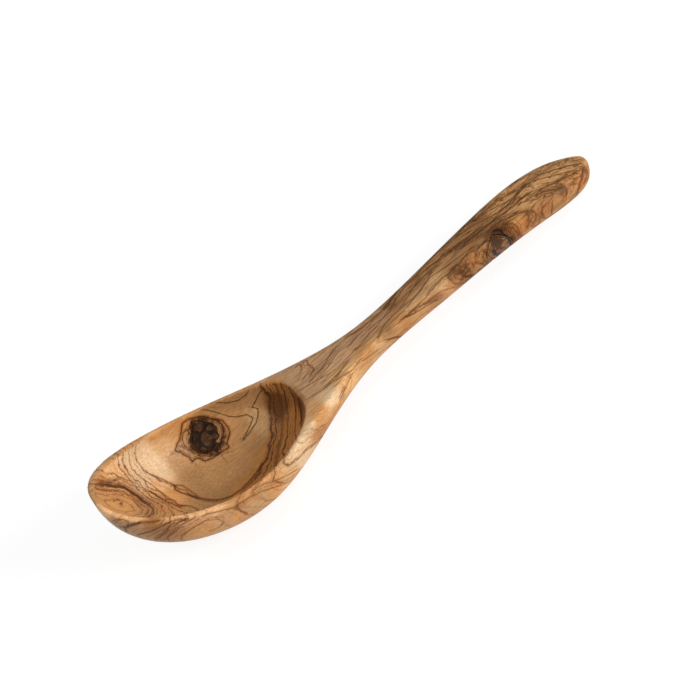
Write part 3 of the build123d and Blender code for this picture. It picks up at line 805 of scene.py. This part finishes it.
# Body: the CAD solid, remeshed evenly so that its edges are as soft as sandpaper leaves them.
body = {
    "grid": 0.00085,
    "softening": 3,
    "crackHalf": 0.42,  # half width of the cracks, millimetres
    "stemStart": 112.0,  # where the neck starts, millimetres along the carving
    "stemHalf": 0.5,  # half width of the lines along neck and handle, millimetres
    # growth lines of the hollow's tip, of its rear wall and of the outside: level, half width and darkness
    "rows": {
        "tipRow": [
            (0.0, 0.4, 0.75), (1.0, 0.22, 0.4), (2.4, 0.32, 0.7), (3.6, 0.2, 0.3), (4.6, 0.4, 0.8),
            (6.2, 0.32, 0.75), (7.5, 0.2, 0.35), (8.6, 0.35, 0.75), (9.7, 0.25, 0.45), (10.9, 0.32, 0.65),
            (12.1, 1.1, 0.85), (13.6, 0.4, 0.7), (15.5, 0.3, 0.55), (17.9, 0.28, 0.5), (19.6, 0.3, 0.6),
        ],
        "rearRow": [
            (0.0, 0.75, 0.9), (1.8, 0.45, 0.85), (3.2, 0.25, 0.5), (4.6, 1.5, 0.55), (7.1, 0.55, 0.95),
            (8.4, 0.25, 0.5), (9.6, 0.3, 0.5), (11.0, 0.7, 0.95), (12.6, 0.25, 0.5), (14.2, 1.3, 0.95),
        ],
        "outerRow": [
            (-1.5, 0.25, 0.5), (1.0, 0.3, 0.6), (2.2, 0.2, 0.35), (3.2, 0.35, 0.65), (4.5, 0.22, 0.4),
            (5.6, 0.4, 0.7), (7.2, 0.22, 0.4), (8.6, 0.35, 0.7), (10.2, 0.22, 0.4), (11.8, 0.6, 0.8),
            (13.2, 0.2, 0.35), (14.5, 0.3, 0.5), (16.2, 0.25, 0.4), (17.6, 0.3, 0.55), (19.2, 0.25, 0.5),
            (20.6, 0.3, 0.55), (22.0, 0.3, 0.65), (24.0, 0.35, 0.75), (25.4, 0.3, 0.65),
        ],
    },
}


def sandedCopy(solid, name, look):
    # A finely remeshed copy of a CAD solid with soft edges, the strokes and the knots' distances kept on it.
    piece = mergedCopy(solid, name)
    applied(piece, "REMESH", mode="VOXEL", voxel_size=look["grid"])
    applied(piece, "SMOOTH", factor=softFactor, iterations=look["softening"])
    bpy.ops.object.shade_smooth()
    points, normals = meshPoints(piece)
    storeMarks(piece, "stroke", points, normals, marksOnSpoon(grain["strokes"]))
    storeField(piece, "crescent", markField(points, normals, marksOnSpoon(grain["crescents"]))[0])
    storeField(piece, "bowlKnot", knotDistance(points, *knot["place"]))
    storeField(piece, "handleKnot", knotDistance(points, *handleKnot["place"]))
    return piece, points, normals


wood, points, normals = sandedCopy("spoon_body", "spoon_wood", body)
inside = hollowShare(points, normals)
levels, climb = growthField(points, normals)
storeField(wood, "growth", levels)
storeField(wood, "steep", climb)
for name, lines in body["rows"].items():
    row, gap = rowField(levels, climb, lines)
    storeField(wood, name, row)
    storeField(wood, name + "Gap", gap)
cracks = marksOnSpoon([(body["crackHalf"], 1, line) for line in grain["cracks"]])
stemLines = marksOnSpoon([(body["stemHalf"], 1, line) for level, line in grain["layers"] if len(line) > 1])
stemLines = [mark for mark in stemLines if mark[2][0][0] > body["stemStart"]]
storeMarks(wood, "crack", points, normals, cracks)
storeMarks(wood, "stem", points, normals, stemLines)
storeField(wood, "hollow", inside)
storeField(wood, "tone", toneField(points, inside))
storeField(wood, "along", points[:, 0])
storeField(wood, "side", points[:, 1])
storeField(wood, "facing", normals[:, 2])
print("body", len(wood.data.polygons))

# Olive wood: dark growth lines over a mottled ground, with ingrown bark round the knots.
olive = {
    "line": (0.055, 0.026, 0.010, 1),  # darkest line
    "stain": (0.66, 0.47, 0.33, 1),  # how the ground darkens beside a line
    "black": (0.020, 0.011, 0.008, 1),  # bark and seams
    "purple": (0.075, 0.03, 0.020, 1),  # lines of the tip and of the handle's side
    "ink": (0.050, 0.021, 0.006, 1),  # traced strokes
    "flame": (0.80, 0.68, 0.56, 1),  # how the darker flames of the stem darken the ground
    "band": (0.72, 0.56, 0.42, 1),  # how the broad bands darken it
    # noises: scale, detail, roughness
    "fibre": (1400.0, 3.0, 0.6),
    "bands": (18.0, 3.0, 0.65),
    "fineBands": (26.0, 2.0, 0.6),
    "mottle": (60.0, 4.0, 0.6),
    "breaks": (70.0, 2.0),
    "streaks": (380.0, 2.0, 0.5),
    "flames": (55.0, 2.5, 0.5),
    "blotches": (150.0, 4.0, 0.6),
    "fibreScale": (0.06, 1, 1),  # fibres are drawn out along the carving, bands less so
    "bandScale": (0.35, 1, 1),
    "bandLevels": (0.62, 1.9),  # how fast the broad and the fine bands change with the growth
    # shakes by the slow and the fine noise, in millimetres of growth or in half widths
    "bandShake": (2.6, 0.8),
    "rowShake": (4.5, 1.8),
    "stemShake": (3.2, 1.6),
    "crackShake": (2.2,),  # by the fine one alone
    "strokeShake": (2.4, 1.6),  # by the fine one, then the slow one
    "streakBend": 0.003,  # metres
    # stretches along the carving, in millimetres, over which something sets in
    "rearWall": (70.0, 86.0),
    "neckTop": (95.0, 110.0),
    "handle": (100.0, 128.0),
    "grip": (190.0, 235.0),
    "stem": (150.0, 185.0, 0.5, 1.0),
    "stainAndShade": (196.0, 212.0),
    "stainAndShadeEnd": (250.0, 240.0),
    "nearSide": (-6.0, -9.0),  # the same across it
    # how far the surface faces up where something sets in and is full, and its strengths there
    "top": (0.5, 0.8),
    "streakTop": (0.55, 0.8, 0.3, 1.0),
    "flameTop": (0.85, 0.6, 0.2, 0.75),
    "stainAndShadeTop": (0.8, 0.5),
    # climb of the growth level where the shake, the rows and the bands set in and are full
    "shakeClimb": (0.1, 0.9, 0.1, 1.0),
    "rowClimb": (0.12, 0.35),
    "bandClimb": (0.25, 0.7, 0.15, 1.0),
    # lines in a noise: the level that they follow, and how far from it they are full and then gone
    "coarseLine": (0.5, 0.006, 0.035),
    "fineLine": (0.5, 0.005, 0.045),
    "streakLine": (0.5, 0.006, 0.04),
    # traced lines: half widths where they are full and then gone, and their depth
    "crackLine": (0.45, 1.2, 0.8),
    "stemLine": (0.3, 1.15, 0.8),
    "strokeSoft": (0.8, 4.0, 0.9),
    "strokeSharp": (0.4, 1.25),
    "strokeBlack": (0.8, 1.0),  # darkness of a stroke between which its ink turns black
    # values between which something changes, and its strengths there where they aren't 0 and 1
    "topRows": (0.0, 1.0, 1.0, 0.35),
    "coarseHandle": (0.0, 1.0, 0.3, 0.6),
    "fineHandle": (0.0, 1.0, 0.25, 0.5),
    "paleLevels": (-3.0, 1.5, 0.12, 1.0),
    "streakHandle": (0.0, 0.48),  # strengths alone
    "streakGrip": (0.0, 0.35),
    "patchy": (0.35, 0.55, 0.7, 1.0),
    "breakTurn": (0.42, 0.58),
    "bandTurn": (0.3, 0.7, 0.0, 0.55),
    "fibreTurn": (0.3, 0.7, 0.78, 1.18),
    "mottleTurn": (0.3, 0.7, 0.9, 1.12),
    "flameTurn": (0.48, 0.54),
    "blotchTurn": (0.42, 0.56, 0.0, 0.85),
    "roughness": (0.3, 0.7, 0.36, 0.52),
    "fibreHeight": 0.35,
    "lineDepth": 0.5,
    "bump": (0.22, 0.0002),
    "refraction": 1.45,
    "gloss": 0.14,
}
oliveMaterial, tree, shader = newMaterial("olive_wood")
place, wander, jag = woodNoises(tree)
noises = (wander, jag)
growth = field(tree, "growth")
steep = field(tree, "steep")
hollow = field(tree, "hollow")
along = field(tree, "along")
facing = field(tree, "facing")


def drawnOut(scale):
    # Place on the wood, drawn out along the carving.
    inputs = {"Vector": place, "Rotation": (0, pitch, 0), "Scale": scale}
    return node(tree, "Mapping", inputs).outputs[0]


# Fibres run along the spoon, bands along the growth layers
stretch = drawnOut(olive["fibreScale"])
slow = drawnOut(olive["bandScale"])
sway = product(shaken(0.0, noises, olive["bandShake"]), remap(steep, *olive["shakeClimb"]))
warped = math2("ADD", growth, sway)
fibre = noise(stretch, *olive["fibre"])
bands = noise(slow, *olive["bands"], product(warped, olive["bandLevels"][0]))
fineBands = noise(slow, *olive["fineBands"], product(warped, olive["bandLevels"][1]))
mottle = noise(place, *olive["mottle"])

# Growth lines by zone: the hollow's tip, its rear wall and the outside
rear = remap(along, *olive["rearWall"], smooth=True)
shift = shaken(0.0, noises, olive["rowShake"])
zones = [rowLines(tree, name, lines, shift) for name, lines in body["rows"].items()]
traced, stain = [mixed(hollow, outer, mixed(rear, tip, wall)) for tip, wall, outer in zip(*zones)]
strength = remap(mottle, *olive["patchy"])
stemTop = product(remap(facing, *olive["top"]), remap(along, *olive["neckTop"]))
topRows = remap(stemTop, *olive["topRows"])
traced = product(traced, remap(steep, *olive["rowClimb"]), topRows, strength)
stain = product(stain, topRows)

# Finer lines that come and go along the layers, strongest on the handle and faint in the pale middle
handle = remap(along, *olive["handle"], smooth=True)
coarseLine = contour(bands, *olive["coarseLine"])
fineLine = contour(fineBands, *olive["fineLine"])
fineLine = product(fineLine, remap(noise(slow, *olive["breaks"]), *olive["breakTurn"]))
pale = mixed(hollow, 1.0, remap(growth, *olive["paleLevels"]))
coarse = product(coarseLine, product(remap(handle, *olive["coarseHandle"]), pale))
fine = product(fineLine, product(remap(handle, *olive["fineHandle"]), pale))
fine = product(math2("MAXIMUM", coarse, fine), remap(steep, *olive["bandClimb"]))

# Streaks along neck and handle
bend = shaken(0.0, (wander,), (olive["streakBend"],))
bent = node(tree, "VectorMath", {0: stretch, 1: node(tree, "CombineXYZ", {1: bend}).outputs[0]}).outputs[0]
streak = contour(noise(bent, *olive["streaks"]), *olive["streakLine"])
onHandle = remap(along, *olive["handle"], *olive["streakHandle"])
streakAmount = math2("ADD", onHandle, remap(along, *olive["grip"], *olive["streakGrip"]))
streakAmount = product(streakAmount, remap(facing, *olive["streakTop"]))
fine = math2("MAXIMUM", fine, product(streak, streakAmount))
darkness = math2("MAXIMUM", traced, fine)

# Cracks in the pale middle, and the traced lines along neck and handle
crack = shaken(field(tree, "crack"), (jag,), olive["crackShake"])
crackDark = product(ridge(crack, *olive["crackLine"]), hollow, field(tree, "crackDark"))
stem = shaken(field(tree, "stem"), noises, olive["stemShake"])
stemDark = product(ridge(stem, *olive["stemLine"]), remap(along, *olive["stem"]))
stemDark = product(stemDark, strength, field(tree, "stemDark"))
darkness = math2("MAXIMUM", darkness, stemDark)

# Ground colour, with the painted highlight and shade from the tones, and the lines on it
ground = field(tree, "tone", "Color")
ground = blendColor(remap(bands, *olive["bandTurn"]), ground, olive["band"], "MULTIPLY")
ground = brightened(ground, remap(fibre, *olive["fibreTurn"]))
ground = brightened(ground, remap(mottle, *olive["mottleTurn"]))
ground = blendColor(stain, ground, olive["stain"], "MULTIPLY")
flame = remap(noise(slow, *olive["flames"]), *olive["flameTurn"], smooth=True)
flame = product(flame, product(handle, remap(facing, *olive["flameTop"])))
ground = blendColor(flame, ground, olive["flame"], "MULTIPLY")
brownLines = math2("MAXIMUM", product(hollow, rear), stemTop)
lineColor = blendColor(brownLines, olive["purple"], olive["line"])
color = blendColor(darkness, ground, lineColor)
color = blendColor(crackDark, color, olive["ink"])


def overlayStrokes(tree, color, jag, wander):
    # Lays the traced strokes over a colour.
    edge = shaken(field(tree, "stroke"), (jag, wander), olive["strokeShake"])
    depth = field(tree, "strokeDark")
    soft = product(ridge(edge, *olive["strokeSoft"]), depth)
    color = blendColor(soft, color, olive["stain"], "MULTIPLY")
    sharp = product(ridge(edge, *olive["strokeSharp"]), depth)
    inked = blendColor(remap(depth, *olive["strokeBlack"]), olive["ink"], olive["black"])
    return blendColor(sharp, color, inked)


def knotArea(tree, place, jag, wander):
    # Colour of the bowl's knot and of the stained wood round it, its share over the wood, and its relief.
    ragged = noise(place, *knot["ragged"])
    ring = shaken(field(tree, "bowlKnot"), (ragged,), (knot["ringShake"],))
    halo = blendColor(remap(ragged, *knot["haloTurn"]), knot["gold"], knot["brown"])
    dead = blendColor(remap(wander, *knot["deadTurn"]), knot["between"], knot["islandShade"])
    dead = blendColor(remap(ragged, *knot["blackTurn"]), dead, olive["black"])
    color = blendColor(remap(ring, *knot["dead"], smooth=True), dead, halo)
    color = blendColor(contour(ring, *knot["seam"]), color, olive["black"])
    crescent = shaken(field(tree, "crescent"), (wander,), (knot["crescentShake"],))
    color = blendColor(ridge(crescent, *knot["crescent"]), color, knot["gold"])
    nearest = None
    for centre, radius in knot["islands"]:
        inputs = {0: place, 1: tuple(fromCarving(onSpoon(centre)))}
        away = node(tree, "VectorMath", inputs, operation="DISTANCE").outputs["Value"]
        share = product(away, millimetres / radius)
        nearest = share if nearest is None else math2("MINIMUM", nearest, share)
    nearest = shaken(nearest, (wander,), (knot["isleShake"],))
    isle = remap(nearest, *knot["isle"], smooth=True)
    fissure = contour(nearest, *knot["fissure"])
    top = blendColor(remap(jag, *knot["topTurn"]), knot["islandShade"], knot["island"])
    color = blendColor(isle, color, top)
    color = blendColor(fissure, color, olive["black"])
    relief = math2("SUBTRACT", isle, fissure)
    return color, remap(ring, *knot["stained"], smooth=True), relief


def patchArea(tree, place):
    # Marbled brown of the handle's knot, and its share over the wood round it.
    marble = noise(place, *handleKnot["marble"])
    golden = remap(marble, *handleKnot["marbleTurn"])
    color = blendColor(golden, handleKnot["patch"], handleKnot["gold"])
    color = blendColor(contour(marble, *handleKnot["vein"]), color, olive["black"])
    reach = shaken(field(tree, "handleKnot"), (marble,), (handleKnot["edgeShake"],))
    return color, remap(reach, *handleKnot["edge"], smooth=True)


# Stained wood round the bowl's knot, and marbled brown round the handle's; some way back along the near side
# of the handle's end, blotches of that brown, partly its stain and partly painted shade of that side
stained, stainedShare = knotArea(tree, place, jag, wander)[:2]
color = blendColor(stainedShare, color, stained)
marbled, marbledShare = patchArea(tree, place)
# painted shade: the near side of the handle's end, where it doesn't face up, darkened with blotches of the
# marbled brown
nearSide = remap(field(tree, "side"), *olive["nearSide"])
nearSide = product(remap(facing, *olive["stainAndShadeTop"]), nearSide)
stainAndShade = product(remap(along, *olive["stainAndShade"]), remap(along, *olive["stainAndShadeEnd"]))
stainAndShade = product(stainAndShade, remap(noise(place, *olive["blotches"]), *olive["blotchTurn"]))
marbledShare = product(math2("MAXIMUM", marbledShare, stainAndShade), nearSide)
color = blendColor(marbledShare, color, marbled)
color = overlayStrokes(tree, color, jag, wander)

tree.links.new(color, shader.inputs["Base Color"])
tree.links.new(remap(fibre, *olive["roughness"]), shader.inputs["Roughness"])
height = math2("SUBTRACT", product(fibre, olive["fibreHeight"]), product(darkness, olive["lineDepth"]))
bumped(tree, shader, height, *olive["bump"])
shader.inputs["IOR"].default_value = olive["refraction"]
shader.inputs["Specular IOR Level"].default_value = olive["gloss"]
wood.data.materials.append(oliveMaterial)
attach(wood, "root")
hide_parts("spoon_body")
print("olive wood")


def handleMaterial(name):
    # The marbled brown as a material of its own.
    material, tree, shader = newMaterial(name)
    place, wander, jag = woodNoises(tree)
    color = overlayStrokes(tree, patchArea(tree, place)[0], jag, wander)
    tree.links.new(color, shader.inputs["Base Color"])
    shader.inputs["Roughness"].default_value = handleKnot["roughness"]
    shader.inputs["Specular IOR Level"].default_value = handleKnot["gloss"]
    return material


def knotMaterial(name):
    # The bowl's knot as a material of its own.
    material, tree, shader = newMaterial(name)
    place, wander, jag = woodNoises(tree)
    color, _, relief = knotArea(tree, place, jag, wander)
    tree.links.new(overlayStrokes(tree, color, jag, wander), shader.inputs["Base Color"])
    shader.inputs["Roughness"].default_value = knot["roughness"]
    shader.inputs["Specular IOR Level"].default_value = knot["gloss"]
    bumped(tree, shader, math2("ADD", relief, product(jag, knot["jagHeight"])), *knot["bump"])
    return material


stub = sandedCopy("bowl_knot", "bowl_stub", knot)[0]
stub.data.materials.append(knotMaterial("knot_wood"))
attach(stub, "root")
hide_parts("bowl_knot")
print("bowl knot", len(stub.data.polygons))

bowlBark = sandedCopy("bowl_knot_bark", "bowl_bark", knot)[0]
bowlBark.data.materials.append(knotMaterial("bowl_bark"))
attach(bowlBark, "root")
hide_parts("bowl_knot_bark")
print("bowl bark", len(bowlBark.data.polygons))

handleStub = sandedCopy("handle_knot", "handle_stub", handleKnot)[0]
handleStub.data.materials.append(handleMaterial("handle_knot_wood"))
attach(handleStub, "root")
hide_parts("handle_knot")
print("handle knot", len(handleStub.data.polygons))

handleBark = sandedCopy("handle_knot_bark", "handle_bark", handleKnot)[0]
handleBark.data.materials.append(handleMaterial("handle_bark"))
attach(handleBark, "root")
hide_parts("handle_knot_bark")
print("handle bark", len(handleBark.data.polygons))

# Floor: a plain white sheet that the camera sees as white, with a faint shadow of the spoon left in it.
floor = {
    "size": 6.0,
    "color": (0.92, 0.92, 0.92, 1),
    "roughness": 0.9,
    "glow": 0.8,
    "shadow": (0.32, 0.32, 0.32, 1),
}
bpy.ops.object.select_all(action="DESELECT")
bpy.ops.mesh.primitive_plane_add(size=floor["size"], location=(0, 0, 0))
sheet = bpy.context.object
sheet.name = "floor"
floorMaterial, tree, shader = newMaterial("floor")
shader.inputs["Base Color"].default_value = floor["color"]
shader.inputs["Roughness"].default_value = floor["roughness"]
glow = node(tree, "Emission", {"Strength": floor["glow"]}).outputs[0]
shade = node(tree, "BsdfDiffuse", {"Color": floor["shadow"]}).outputs[0]
white = node(tree, "AddShader", {0: glow, 1: shade}).outputs[0]
rays = node(tree, "LightPath").outputs
seen = math2("MAXIMUM", rays["Is Camera Ray"], rays["Is Glossy Ray"])
finish = node(tree, "MixShader", {0: seen, 1: shader.outputs[0], 2: white}).outputs[0]
tree.links.new(finish, tree.nodes["Material Output"].inputs["Surface"])
sheet.data.materials.append(floorMaterial)


def areaLight(name, place, size, watts, color):
    # A soft studio panel that faces the spoon.
    bpy.ops.object.light_add(type="AREA", location=place)
    lamp = bpy.context.object
    lamp.name = name
    lamp.rotation_euler = (Vector(light["aim"]) - Vector(place)).to_track_quat("-Z", "Y").to_euler()
    lamp.data.shape = "DISK"
    lamp.data.size = size
    lamp.data.energy = watts
    lamp.data.color = color


# Studio light: a low key panel from the handle's side, a weaker one from above, and a pale surround.
light = {
    "aim": (0, 0, 0.03),
    "key": {"place": (1.45, -1.45, 0.8), "size": 0.9, "watts": 42.0, "color": (1.0, 0.98, 0.95)},
    "fill": {"place": (-0.5, 0.2, 1.2), "size": 0.9, "watts": 3.0, "color": (0.97, 0.98, 1.0)},
    "surround": 0.4,
    "white": (1, 1, 1, 1),
}
for name in ("key", "fill"):
    areaLight(name, **light[name])
world = bpy.data.worlds.new("studio")
bpy.context.scene.world = world
world.use_nodes = True
background = world.node_tree.nodes["Background"].inputs
background["Color"].default_value = light["white"]
background["Strength"].default_value = light["surround"]
bpy.context.scene.view_settings.view_transform = "Standard"
print("studio ready")
